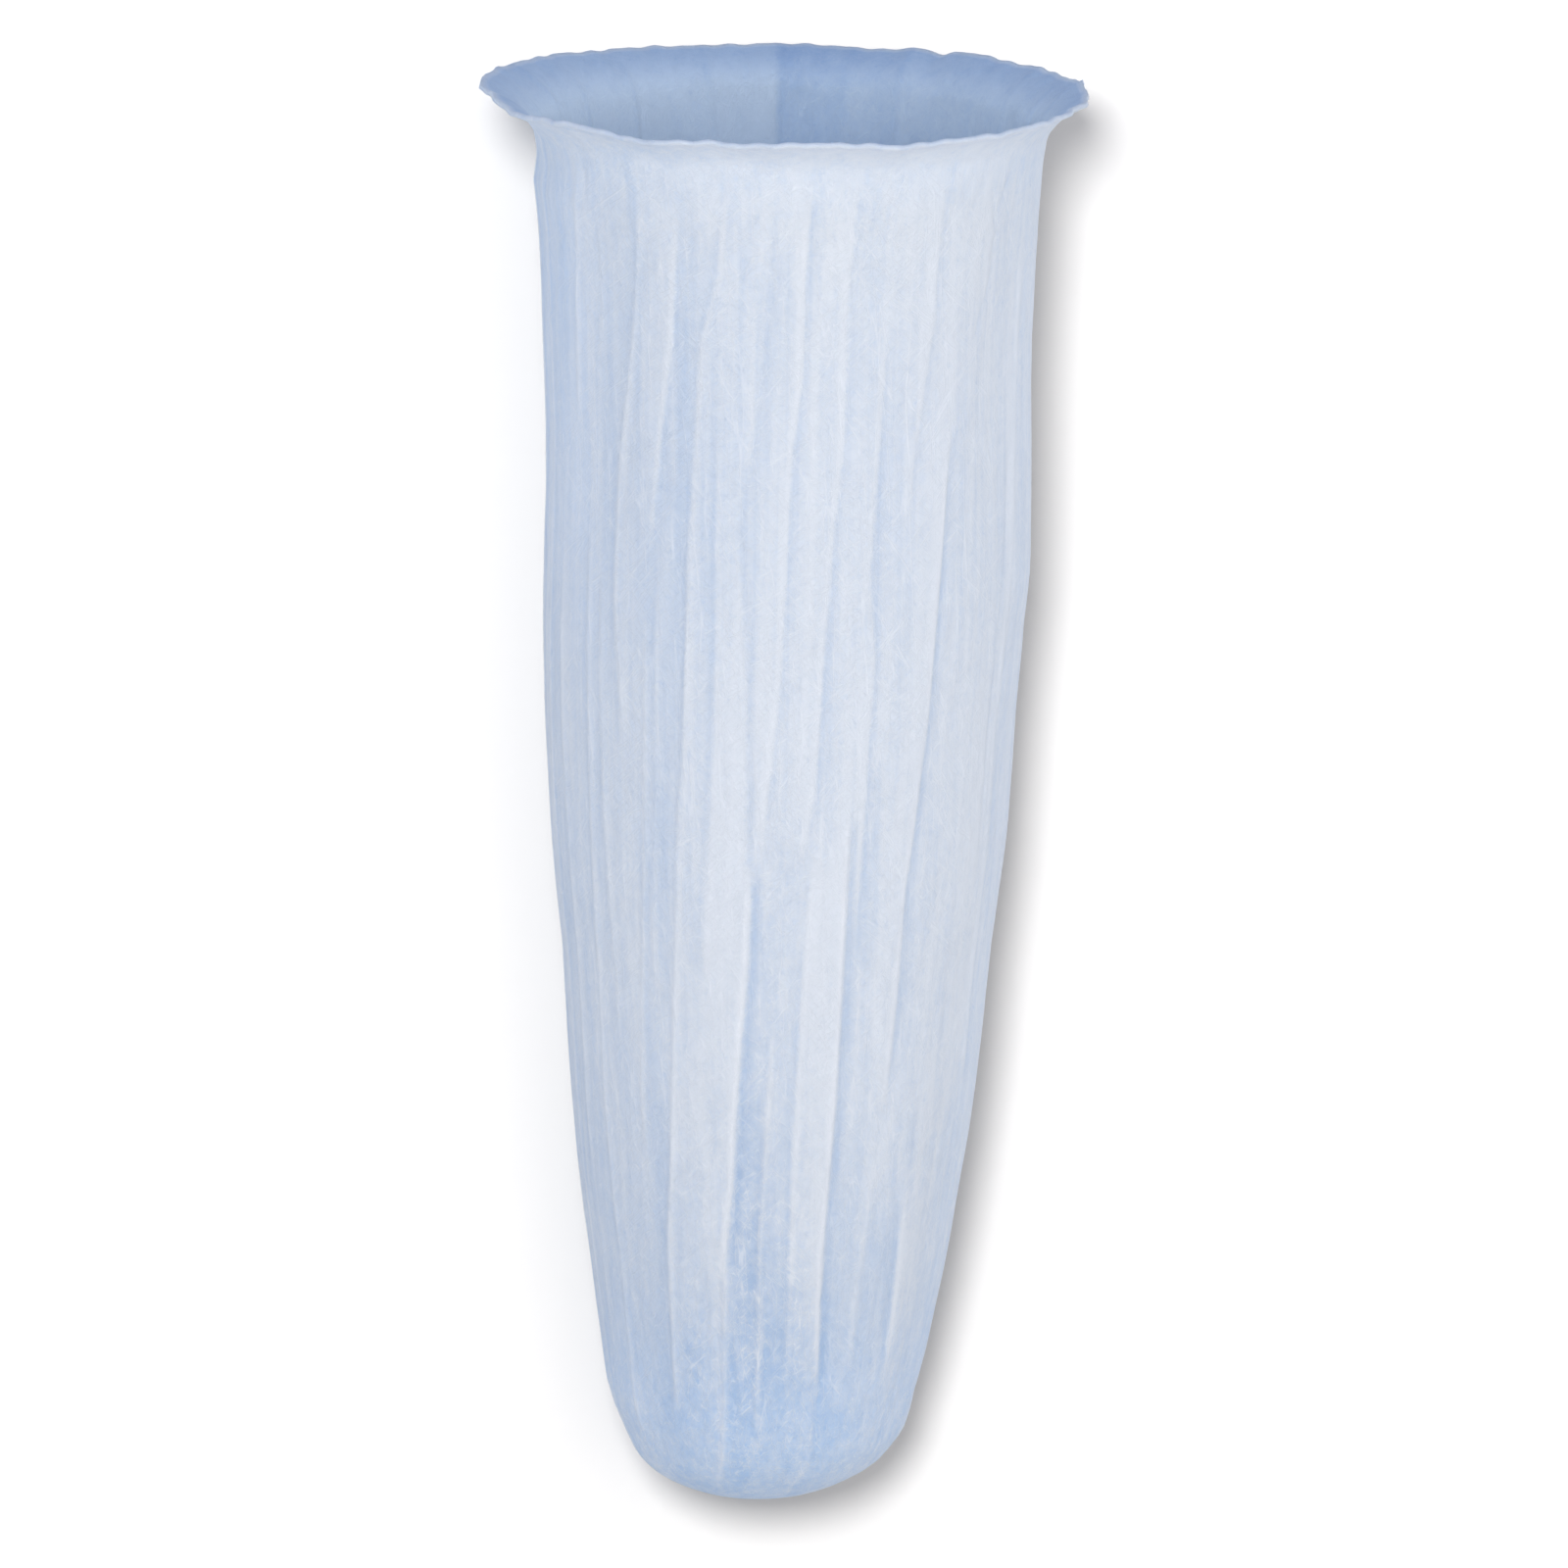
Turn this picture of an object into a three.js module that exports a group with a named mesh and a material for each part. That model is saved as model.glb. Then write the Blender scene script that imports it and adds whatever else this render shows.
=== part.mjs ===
// Filter sock: one piece of nonwoven felt, heat-moulded over a mandrel without a seam. A flared, wavy
// rim hangs it in its holder, and the long body, pressed into irregular lengthwise folds, narrows to a
// rounded, closed toe. Millimetres, +Z up, the front towards -Y. The origin is on the axis at the neck,
// under the flare, where the holder's ring carries the sock.

import * as THREE from "three";
import { mergeVertices } from "three/addons/utils/BufferGeometryUtils.js";

// Driving sizes
const RIM_DIAMETER = 125; // over the flare's edge
const NECK_DIAMETER = 107.6; // where the flare meets the body
const BODY_DIAMETER = 101.4; // the straight stretch below the neck
const TOE_DIAMETER = 68.2; // where the toe begins to close
const FLARE_RISE = 8.5; // neck to rim
const BODY_LENGTH = 292; // neck to the tip of the toe
const TOE_LENGTH = 30.5; // the rounded end alone
const TAPER_START = 80; // below the neck, where the body begins to narrow
const NECK_SETTLE = 15; // depth in which most of the neck's extra width is gone
const WALL = 1; // felt

// Folds and waves
const FOLD_STEP_ANGLE = THREE.MathUtils.degToRad(1.3); // half the width of a fold's step
const PANEL_CROWN = 0.25; // how far the felt bows out between two folds
const RIM_WAVE = 0.9; // up and down, at the flare's edge
const RIM_RUFFLE = 0.6; // in and out, at the flare's edge
const RIM_FOLD_SHARE = 0.35; // of a fold's step that is left at the rim
const FOLD_RUN_IN = 30; // below the neck, where the folds reach their full step
const FOLD_MIDDLE = 0.5; // share of the way from neck to toe where a fold's middle angle is given

// Shape of the curves
const FLARE_TURN = THREE.MathUtils.degToRad(55); // arc of the flare
const TAPER_POWER = 1.85; // the body narrows slowly at first
const TOE_POWER = 3.5; // the toe stays full and then closes quickly

// Mesh
const FLARE_ROWS = 3;
const BODY_ROWS = 11;
const TOE_ROWS = 6;
const BODY_ROW_POWER = 1.15; // rows lie closer together near the neck
const COLUMNS_PER_FOLD = 3; // crest, valley, and the middle of the next panel

const FELT_COLOUR = 0xc6d2e6;

// Each fold runs from the rim to the toe. Its angle is in degrees from the front towards +X, at the top,
// in the middle and at the toe, and its step is how far the felt drops across it.
const FOLDS = [
  { top: -71, middle: -70, toe: -72, step: 0.7 },
  { top: -62, middle: -61, toe: -63, step: 0.9 },
  { top: -54, middle: -54, toe: -56, step: 0.7 },
  { top: -46, middle: -48, toe: -49, step: 0.9 },
  { top: -36, middle: -41, toe: -43, step: 1.1 },
  { top: -26, middle: -33, toe: -37, step: 1.2 },
  { top: -15, middle: -23, toe: -31, step: 1.5 },
  { top: -4, middle: -8, toe: -17, step: 1.8 },
  { top: 5, middle: -1, toe: -8, step: 1.3 },
  { top: 15, middle: 9, toe: 2, step: 1.6 },
  { top: 24, middle: 21, toe: 18, step: 2.0 },
  { top: 35, middle: 30, toe: 28, step: 1.2 },
  { top: 43, middle: 38, toe: 37, step: 1.7 },
  { top: 52, middle: 47, toe: 46, step: 1.2 },
  { top: 63, middle: 58, toe: 57, step: 0.9 },
  { top: 73, middle: 69, toe: 70, step: 1.1 },
  { top: 85, middle: 82, toe: 84, step: 1.5 },
  { top: 98, middle: 94, toe: 96, step: 1.2 },
  { top: 108, middle: 105, toe: 110, step: 1.7 },
  { top: 121, middle: 117, toe: 122, step: 1.3 },
  { top: 133, middle: 128, toe: 131, step: 0.9 },
  { top: 146, middle: 141, toe: 145, step: 1.6 },
  { top: 158, middle: 155, toe: 160, step: 1.2 },
  { top: 171, middle: 167, toe: 170, step: 1.9 },
  { top: 182, middle: 180, toe: 184, step: 1.4 },
  { top: 196, middle: 194, toe: 197, step: 1.0 },
  { top: 208, middle: 205, toe: 207, step: 1.6 },
  { top: 222, middle: 217, toe: 219, step: 1.3 },
  { top: 234, middle: 230, toe: 233, step: 1.8 },
  { top: 247, middle: 245, toe: 246, step: 1.1 },
  { top: 259, middle: 257, toe: 259, step: 1.4 },
  { top: 272, middle: 272, toe: 270, step: 1.0 },
];

// Uneven waves round the rim: whole numbers of turns, so that they meet, and shares that add up to about 1
const LIFT_WAVES = [
  { turns: 7, share: 0.45, phase: 1.1 },
  { turns: 16, share: 0.35, phase: 2.3 },
  { turns: 23, share: 0.35, phase: 0.4 },
];
const RUFFLE_WAVES = [
  { turns: 5, share: 0.4, phase: 0.7 },
  { turns: 13, share: 0.35, phase: 1.9 },
  { turns: 25, share: 0.35, phase: 2.8 },
];

const rimRadius = RIM_DIAMETER / 2;
const neckRadius = NECK_DIAMETER / 2;
const bodyRadius = BODY_DIAMETER / 2;
const toeRadius = TOE_DIAMETER / 2;
const toeDepth = BODY_LENGTH - TOE_LENGTH;
const columns = FOLDS.length * COLUMNS_PER_FOLD;

// Outer radius of the body at a depth below the neck
function radiusAt(depth) {
  const neck = (neckRadius - bodyRadius) * Math.exp(-depth / NECK_SETTLE);
  const along = Math.max(0, depth - TAPER_START) / (toeDepth - TAPER_START);
  const body = bodyRadius - (bodyRadius - toeRadius) * along ** TAPER_POWER;
  const closing = Math.max(0, depth - toeDepth) / TOE_LENGTH;
  return (body + neck) * Math.sqrt(Math.max(0, 1 - closing ** TOE_POWER));
}

// A point of the flare's arc, from 0 at the rim to 1 at the neck
function flarePoint(share) {
  const turn = (1 - share) * FLARE_TURN;
  const out = (1 - Math.cos(turn)) / (1 - Math.cos(FLARE_TURN));
  const up = Math.sin(turn) / Math.sin(FLARE_TURN);
  return new THREE.Vector2(neckRadius + (rimRadius - neckRadius) * out, FLARE_RISE * up);
}

// Outer outline from the rim to the tip, as radius and height
function outerOutline() {
  const points = [];
  for (let i = 0; i < FLARE_ROWS; i += 1) {
    points.push(flarePoint(i / FLARE_ROWS));
  }
  for (let i = 0; i < BODY_ROWS; i += 1) {
    const depth = toeDepth * (i / BODY_ROWS) ** BODY_ROW_POWER;
    points.push(new THREE.Vector2(radiusAt(depth), -depth));
  }
  for (let i = 0; i < TOE_ROWS; i += 1) {
    const depth = toeDepth + TOE_LENGTH * Math.sin((i / TOE_ROWS) * (Math.PI / 2));
    points.push(new THREE.Vector2(radiusAt(depth), -depth));
  }
  points.push(new THREE.Vector2(0, -BODY_LENGTH));
  return points;
}

// The same outline, one wall thickness further in
function innerOutline(outer) {
  return outer.map((point, i) => {
    const before = outer[Math.max(0, i - 1)];
    const after = outer[Math.min(outer.length - 1, i + 1)];
    const along = after.clone().sub(before).normalize();
    if (point.x === 0) {
      return new THREE.Vector2(0, point.y + WALL);
    }
    return new THREE.Vector2(point.x + along.y * WALL, point.y - along.x * WALL);
  });
}

// Where fold number k lies at a depth below the neck, in radians
function foldAngle(k, depth) {
  const turns = Math.floor(k / FOLDS.length);
  const fold = FOLDS[k - turns * FOLDS.length];
  const along = THREE.MathUtils.clamp(depth / toeDepth, 0, 1);
  const degrees =
    along < FOLD_MIDDLE
      ? THREE.MathUtils.lerp(fold.top, fold.middle, along / FOLD_MIDDLE)
      : THREE.MathUtils.lerp(fold.middle, fold.toe, (along - FOLD_MIDDLE) / (1 - FOLD_MIDDLE));
  return THREE.MathUtils.degToRad(degrees + 360 * turns);
}

// The angle of a column of the mesh, and how far its felt stands proud there
function columnAt(column, depth) {
  const k = Math.floor(column / COLUMNS_PER_FOLD);
  const next = (k + 1) % FOLDS.length;
  const crest = FOLDS[k].step / 2;
  const place = column % COLUMNS_PER_FOLD;
  if (place === 0) {
    return { angle: foldAngle(k, depth) - FOLD_STEP_ANGLE, proud: crest };
  }
  if (place === 1) {
    return { angle: foldAngle(k, depth) + FOLD_STEP_ANGLE, proud: -crest };
  }
  return {
    angle: (foldAngle(k, depth) + foldAngle(k + 1, depth)) / 2,
    proud: (FOLDS[next].step / 2 - crest) / 2 + PANEL_CROWN,
  };
}

// How much of a fold's step is left at a depth: little on the rim, all of it on the body, none at the tip
function foldShare(depth) {
  const runIn = THREE.MathUtils.smoothstep(depth, -FLARE_RISE, FOLD_RUN_IN);
  const closing = THREE.MathUtils.clamp((depth - toeDepth) / TOE_LENGTH, 0, 1);
  return THREE.MathUtils.lerp(RIM_FOLD_SHARE, 1, runIn) * (1 - closing ** 2);
}

function wavesAt(list, angle) {
  return list.reduce((sum, wave) => sum + wave.share * Math.sin(wave.turns * angle + wave.phase), 0);
}

function feltGeometry() {
  const outer = outerOutline();
  const inner = innerOutline(outer);
  const outline = [...outer].reverse().concat(inner);
  const geometry = new THREE.LatheGeometry(outline, columns).rotateX(Math.PI / 2);
  geometry.deleteAttribute("normal");
  geometry.deleteAttribute("uv");

  // Both skins follow the same folds, so that the wall keeps its thickness
  const position = geometry.getAttribute("position");
  for (let i = 0; i < position.count; i += 1) {
    const row = i % outline.length;
    const column = Math.floor(i / outline.length) % columns;
    const station = outer[row < outer.length ? outer.length - 1 - row : row - outer.length];
    const depth = -station.y;
    const { angle, proud } = columnAt(column, depth);
    const flared = THREE.MathUtils.clamp(-depth / FLARE_RISE, 0, 1);
    const point = outline[row];
    const moved = proud * foldShare(depth) + RIM_RUFFLE * flared * wavesAt(RUFFLE_WAVES, angle);
    const radius = point.x === 0 ? 0 : point.x + moved;
    const height = point.y + RIM_WAVE * flared * wavesAt(LIFT_WAVES, angle);
    position.setXYZ(i, radius * Math.sin(angle), -radius * Math.cos(angle), height);
  }
  return mergeVertices(geometry);
}

const felt = new THREE.MeshStandardMaterial({ color: FELT_COLOUR, roughness: 0.9, metalness: 0 });
const sock = new THREE.Mesh(feltGeometry(), felt);
sock.name = "filter_sock";

const part = new THREE.Group();
part.add(sock);

export default part;
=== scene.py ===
"""Filter sock: the felt skin with its folds, wavy rim and thin toe, a plain backdrop, lamps and the camera.

Lengths are in metres, apart from tables that say millimetres. Angles round the sock run from its front, -Y,
towards +X, in degrees in the tables. Depth is measured down from the neck, where the flare begins.
"""

import math

import bpy
import numpy as np
from mathutils import Euler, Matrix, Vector


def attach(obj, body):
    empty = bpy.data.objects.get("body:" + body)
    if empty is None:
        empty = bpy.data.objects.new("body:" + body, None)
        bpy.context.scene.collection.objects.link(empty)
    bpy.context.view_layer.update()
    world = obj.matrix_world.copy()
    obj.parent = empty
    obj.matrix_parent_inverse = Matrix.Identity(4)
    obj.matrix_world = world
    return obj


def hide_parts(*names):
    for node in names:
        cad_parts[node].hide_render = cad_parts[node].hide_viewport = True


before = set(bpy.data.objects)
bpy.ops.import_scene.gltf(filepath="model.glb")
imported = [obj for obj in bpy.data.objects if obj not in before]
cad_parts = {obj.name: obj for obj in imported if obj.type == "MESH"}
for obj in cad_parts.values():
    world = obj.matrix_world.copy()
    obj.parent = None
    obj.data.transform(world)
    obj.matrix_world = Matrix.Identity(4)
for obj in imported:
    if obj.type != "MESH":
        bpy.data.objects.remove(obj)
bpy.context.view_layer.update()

MM = 0.001
NODE = "filter_sock"

# Sizes of the sock, as in the part
RIM_RADIUS = 62.5 * MM
NECK_RADIUS = 53.8 * MM
BODY_RADIUS = 50.7 * MM
TOE_RADIUS = 34.1 * MM
FLARE_RISE = 8.5 * MM
BODY_LENGTH = 292 * MM
TOE_LENGTH = 30.5 * MM
TAPER_START = 80 * MM
NECK_SETTLE = 15 * MM
WALL = 1.0 * MM
FLARE_TURN = math.radians(55)
TAPER_POWER = 1.85
TOE_POWER = 3.5
TOE_DEPTH = BODY_LENGTH - TOE_LENGTH

# Mesh
COLUMNS = 480
OUTER_ROWS = {"flare": 16, "neck": 24, "body": 74, "toe": 22}
INNER_ROWS = {"flare": 10, "neck": 12, "body": 22, "toe": 12}
NECK_STRETCH = 40 * MM
LEAST_RADIUS = 1 * MM  # of a row, where distances round it are measured

# Folds
FOLD_REACH = 6 * MM  # how far a fold's swell dies away on either side
FOLD_WIDTH = 0.55 * MM  # half the width of the step itself
FOLD_SHADE = 0.7  # half the width of the painted shade below a step, in fold widths, to which its height is added
RIDGE_WIDTH = 0.7 * MM
FOLD_RUN = 12 * MM  # over which a fold begins or ends
TONE_RUN = 45 * MM  # over which its tone does
TONE_BEYOND = TONE_RUN / 3  # how far its tone reaches past its ends
TONE_STEP = 0.6 * MM  # half the width in which the felt's tone changes at a crease

# Each crease: its kind, its height in millimetres, the felt's tone on its left and on its right, and its
# route as (depth in millimetres, angle). A step drops to the right of its line, or to the left where its
# height is negative, a ridge is a raised line and a groove a sunken one. Tone is above 0 where the felt
# is whiter and below 0 where it is bluer, partly for doubled and thin felt and partly as painted light and
# shade on the panels beside the crease.
FRONT_CREASES = [
    ("ridge", 0.25, 0.00, 0.00, [(-4, -54), (29, -58), (60, -58)]),
    ("ridge", 0.25, 0.10, 0.00, [(8, -48), (45, -48)]),
    ("ridge", 0.40, -0.05, 0.10, [(5, -35), (30, -37), (46, -39), (63, -42), (90, -43), (120, -40)]),
    ("step", 0.40, 0.18, -0.15, [(6, -25), (35, -27), (58, -30), (80, -32)]),
    ("step", -0.35, 0.00, 0.10, [(0, -14), (21, -16), (35, -20), (54, -21), (80, -22), (118, -23), (170, -26)]),
    ("ridge", 0.45, -0.10, 0.00, [(66, -22), (94, -22), (118, -23), (142, -25), (167, -26), (191, -28)]),
    ("ridge", 0.12, -0.28, 0.06, [(50, -15), (94, -15), (130, -16), (168, -18)]),
    ("ridge", 0.55, -0.10, 0.10, [(180, -27), (207, -29), (229, -32), (270, -34)]),
    ("groove", 0.30, 0.10, -0.10, [(-2, -3), (26, -4), (48, -6), (74, -10), (95, -8), (130, -7), (165, -7)]),
    ("step", 1.10, 0.30, -0.16, [(141, -6), (165, -7), (187, -9), (198, -10), (214, -11), (238, -15)]),
    ("ridge", 0.55, 0.18, -0.15, [(222, -13), (263, -15), (292, -19)]),
    ("step", 0.50, 0.10, -0.20, [(0, 5), (24, 4), (41, 4), (56, 2), (80, 1), (105, 0), (124, -2), (140, -4)]),
    ("step", 0.40, 0.15, -0.10, [(0, 15), (32, 14), (54, 14), (74, 12), (91, 11), (127, 9), (146, 6)]),
    ("step", -0.45, -0.18, 0.10, [(136, 10), (155, 8), (180, 7), (205, 6), (230, 6), (262, 6)]),
    ("ridge", 0.60, -0.10, -0.10, [(176, 0), (196, -1), (230, -3), (252, -3), (275, -4)]),
    ("step", 0.40, 0.15, -0.10, [(30, 24), (67, 22), (85, 21), (99, 23), (121, 22), (160, 21)]),
    ("step", 1.30, 0.32, -0.16, [(129, 18), (175, 18), (198, 18), (222, 17), (240, 17), (264, 19)]),
    ("step", 0.35, 0.10, -0.10, [(0, 37), (31, 36), (56, 32), (70, 31)]),
    ("step", 0.75, 0.15, -0.24, [(50, 42), (91, 39), (113, 38), (132, 36), (150, 34), (169, 34), (200, 33)]),
    ("groove", 0.35, 0.10, -0.15, [(-2, 50), (15, 56), (24, 55), (40, 47)]),
    ("ridge", 0.35, -0.15, -0.15, [(76, -53), (130, -53), (163, -54), (199, -55), (236, -54), (280, -56)]),
    ("ridge", 0.25, -0.10, 0.10, [(80, -48), (138, -48), (190, -46)]),
    ("ridge", 0.30, 0.10, -0.10, [(88, -33), (138, -34), (163, -36), (198, -39), (220, -37)]),
    ("ridge", 0.20, 0.00, 0.00, [(84, -30), (138, -31), (176, -34)]),
    ("ridge", 0.30, 0.00, 0.00, [(232, -13), (272, -8)]),
    ("ridge", 0.50, 0.20, -0.20, [(256, 15), (292, 20)]),
    ("step", -0.70, -0.21, 0.27, [(214, 42), (233, 44), (262, 46)]),
    ("ridge", 0.25, 0.10, -0.10, [(205, 31), (262, 29)]),
    ("groove", 0.25, 0.00, 0.00, [(60, 66), (100, 63), (150, 62)]),
    ("ridge", 0.25, 0.10, -0.10, [(20, 70), (70, 68), (130, 66), (200, 68)]),
    ("ridge", 0.25, -0.10, 0.10, [(90, -66), (150, -65), (220, -67)]),
]

# The folds of the sides and the back, each from rim to toe: height in millimetres and its angle at the
# neck, halfway down and at the toe.
BACK_FOLDS = [
    (0.3, -74, -73, -74),
    (0.7, 84, 82, 84),
    (1.2, 98, 94, 96),
    (1.0, 108, 105, 110),
    (0.8, 121, 117, 122),
    (0.7, 133, 128, 131),
    (1.1, 154, 150, 152),
    (0.9, 167, 163, 166),
    (-1.2, 183, 181, 184),
    (1.0, 198, 195, 197),
    (1.2, 218, 214, 216),
    (0.8, 234, 230, 233),
    (1.1, 247, 245, 246),
    (0.7, 259, 257, 259),
    (0.6, 272, 272, 270),
]
BACK_TONES = (0.22, -0.28)  # of a fold 1 mm high, on its left and right, partly for doubled felt and partly painted light and shade
LEFT_TONE_REACH = 7 * MM  # how far a crease's tone dies away
RIGHT_TONE_REACH = 9 * MM

# Short puckers under the flare: how deep, in millimetres, and (depth, angle) at both ends
PUCKERS = [
    (0.35, [(3, 45), (9, 40)]),
    (0.40, [(1, 50), (12, 43)]),
    (0.40, [(1, 60), (14, 54)]),
    (0.30, [(12, 58), (22, 53)]),
    (0.30, [(-2, -52), (9, -53)]),
    (0.25, [(-2, -30), (8, -31)]),
    (0.25, [(-2, -14), (8, -15)]),
]
PUCKER_RUN = 4 * MM

# Small slanting dents, each from one (depth, angle) to the other, and dark specks at a depth and angle
DENTS = [
    ((105, 1.7), (108, 8.3)),
    ((93, 14.5), (94, 19.5)),
    ((38, -8), (41, -4)),
    ((127, 24), (131, 28)),
    ((150, -12), (153, -8)),
    ((60, 12), (62, 17)),
]
DENT_DEPTH = 0.22 * MM
DENT_WIDTH = 0.8 * MM
# painted shade in a dent
DENT_SHADE = 0.4
SPECKS = [(39.5, 30), (41.8, 31.6), (52.4, 30.6), (182, 38.3), (258, -24.2), (80.7, -31.9)]
SPECK_SIZE = 0.75 * MM
LEAST_LENGTH_SQUARED = MM**4  # added to a mark's, so that a speck's is not 0

# Flattened stretches of the pressed body: middle angle, half width and how deep, in millimetres
FLATS = [(8, 31, 1.1), (-50, 26, 0.5), (62, 22, 0.6), (118, 30, 0.9), (178, 28, 1.0), (238, 30, 0.9)]

# Depth, and how far the sock's left and right sides stand out there, in millimetres
SIDE_SHAPE = [
    (-8.5, 1.3, -1.0), (-4, 0.3, -0.6), (0, -1.1, -1.1), (4, -1.1, -1.0), (10, 0.3, -0.6), (20, -0.2, -0.2),
    (40, -0.6, -0.4), (60, -1.5, 0.2), (75, -1.5, 0.5), (90, -1.2, 0.7), (103, -0.8, -0.2), (120, -0.6, -0.8),
    (134, -0.6, -0.7), (146, -0.6, -0.5), (158, -0.9, -0.8), (172, -1.3, -1.1), (186, -1.0, -0.8),
    (200, -0.3, -0.5), (217, 0.2, -0.6), (240, 0.4, -0.8), (258, 0.7, -1.3), (268, 1.0, -2.0), (274, 0.6, -1.6),
    (280, 0.0, -0.2), (284, 0.2, 1.2), (288, 0.8, 0.4), (292, 0.0, 0.0),
]
SIDE_FULL_RADIUS = 12 * MM  # the sides' shape fades where the toe is narrower than this
TOE_LEAN = -2.3 * MM  # the tip lies a little to the left
TOE_LEAN_START = 274 * MM
TOE_LEAN_RUN = 12 * MM

# Lift of the rim in millimetres at given angles, which the photo's edge shows at its front and back
RIM_LIFT = [
    (-168, -0.6), (-155, -0.5), (-140, -0.3), (-125, 0.4), (-112, 0.5), (-104, 0.5), (-90, 1.2), (-76, 0.8),
    (-62, -0.8), (-52, -0.2), (-43, 0.1), (-35, -0.7), (-30, -1.6), (-23, -1.2), (-14, -0.6), (-9, -1.1),
    (-3, -0.5), (6, -0.3), (14, -0.6), (21, -1.2), (30, -0.8), (41, -0.5), (51, -0.1), (61, 0.4), (70, 0.7),
    (80, 0.3), (92, 0.6), (100, 1.3), (106, 0.2), (114, -0.1), (121, 0.4), (129, -0.1), (137, 0.5), (144, 0.6),
    (149, -0.7), (155, 0.3), (161, -0.8), (170, -0.7), (179, -0.2),
]

# Waves round the rim: size, whole turns and phase. The lift is in millimetres, the ruffle in shares.
LIFT_WAVES = [(0.12, 47, 1.0), (0.1, 71, 2.0)]
LIFT_POWER = 1.3  # the lift grows quickly towards the edge
RUFFLE_WAVES = [(0.35, 7, 0.6), (0.3, 17, 1.9), (0.25, 31, 2.8)]
RIM_RUFFLE = 0.9 * MM

# Random crinkles: seed, waves, whole turns round (from, below), length down and height
CRINKLES = [
    (3, 40, (2, 14), 120 * MM, 0.16 * MM),
    (5, 60, (20, 90), 20 * MM, 0.05 * MM),
]
FLAT_RUN = 30 * MM  # below the neck, where the flats reach their full depth
RELIEF_RUN = 18 * MM  # from the rim, where the relief reaches its full height
RIM_RELIEF = 0.35  # share of it at the rim


def rows_of(counts):
    """Stations from the rim to just short of the tip: radius, height and depth, one row each."""
    share = np.arange(counts["flare"]) / counts["flare"]
    turn = (1 - share) * FLARE_TURN
    out = (1 - np.cos(turn)) / (1 - math.cos(FLARE_TURN))
    flare_radius = NECK_RADIUS + (RIM_RADIUS - NECK_RADIUS) * out
    flare_depth = -FLARE_RISE * np.sin(turn) / math.sin(FLARE_TURN)
    neck = np.linspace(0, NECK_STRETCH, counts["neck"], endpoint=False)
    body = np.linspace(NECK_STRETCH, TOE_DEPTH, counts["body"], endpoint=False)
    closing = np.sin(np.linspace(0, math.pi / 2, counts["toe"], endpoint=False))
    depth = np.concatenate([neck, body, TOE_DEPTH + TOE_LENGTH * closing])
    radius = np.concatenate([flare_radius, radius_at(depth)])
    depth = np.concatenate([flare_depth, depth])
    return radius, -depth, depth


def radius_at(depth):
    """Outer radius at a depth below the neck."""
    neck = (NECK_RADIUS - BODY_RADIUS) * np.exp(-depth / NECK_SETTLE)
    along = np.maximum(0, depth - TAPER_START) / (TOE_DEPTH - TAPER_START)
    body = BODY_RADIUS - (BODY_RADIUS - TOE_RADIUS) * along**TAPER_POWER
    closing = np.maximum(0, depth - TOE_DEPTH) / TOE_LENGTH
    return (body + neck) * np.sqrt(np.maximum(0, 1 - closing**TOE_POWER))


def smooth(x):
    x = np.clip(x, 0, 1)
    return x * x * (3 - 2 * x)


def eased(place, table):
    """The value of a table of (place, value) pairs, eased from each pair to the next."""
    (start, value), *rest = table
    total = value
    for end, next_value in rest:
        total = total + (next_value - value) * smooth((place - start) / (end - start))
        start, value = end, next_value
    return total


def wrapped(angle):
    """Angles brought to -pi..pi."""
    return (angle + math.pi) % (2 * math.pi) - math.pi


def along_route(route, depth):
    """Where a crease lies at each depth, in radians."""
    depths = np.array([d for d, _ in route]) * MM
    return np.interp(depth, depths, np.radians([a for _, a in route]))


def share_of(route, depth, run, beyond=0.0):
    """How much of a crease is there at each depth, from 0 to 1."""
    first, last = route[0][0] * MM - beyond, route[-1][0] * MM + beyond
    return smooth((depth - first) / run) * smooth((last - depth) / run)


def crease(kind, across, size):
    """Height of a crease of height 1 at a distance across its line, and its painted highlight and painted
    shade.
    """
    if kind == "step":
        swell = np.exp(-np.abs(across) / FOLD_REACH)
        height = -0.5 * np.tanh(across / FOLD_WIDTH) * swell
        # painted highlight along the step's upper edge, and painted shade below it
        light = np.exp(-(((across + FOLD_WIDTH) / FOLD_WIDTH) ** 2))
        shade = FOLD_WIDTH * (FOLD_SHADE + size)
        dark = np.exp(-(((across - shade) / shade) ** 2))
        return height, light, dark
    hump = np.exp(-((across / RIDGE_WIDTH) ** 2))
    # a ridge gets a painted highlight along it, and a groove painted shade
    if kind == "ridge":
        return hump, hump, 0 * hump
    return -hump, 0 * hump, hump


def tone_beside(across, left, right):
    """The felt's tone on both sides of a crease, which fades away from it: partly doubled and thin felt, partly
    painted light and shade.
    """
    to_right = 0.5 + 0.5 * np.tanh(across / TONE_STEP)
    on_left = left * np.exp(np.minimum(0, across) / LEFT_TONE_REACH)
    on_right = right * np.exp(-np.maximum(0, across) / RIGHT_TONE_REACH)
    return on_left * (1 - to_right) + on_right * to_right


def waves_at(waves, angle):
    return sum(size * np.sin(turns * angle + phase) for size, turns, phase in waves)


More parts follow.
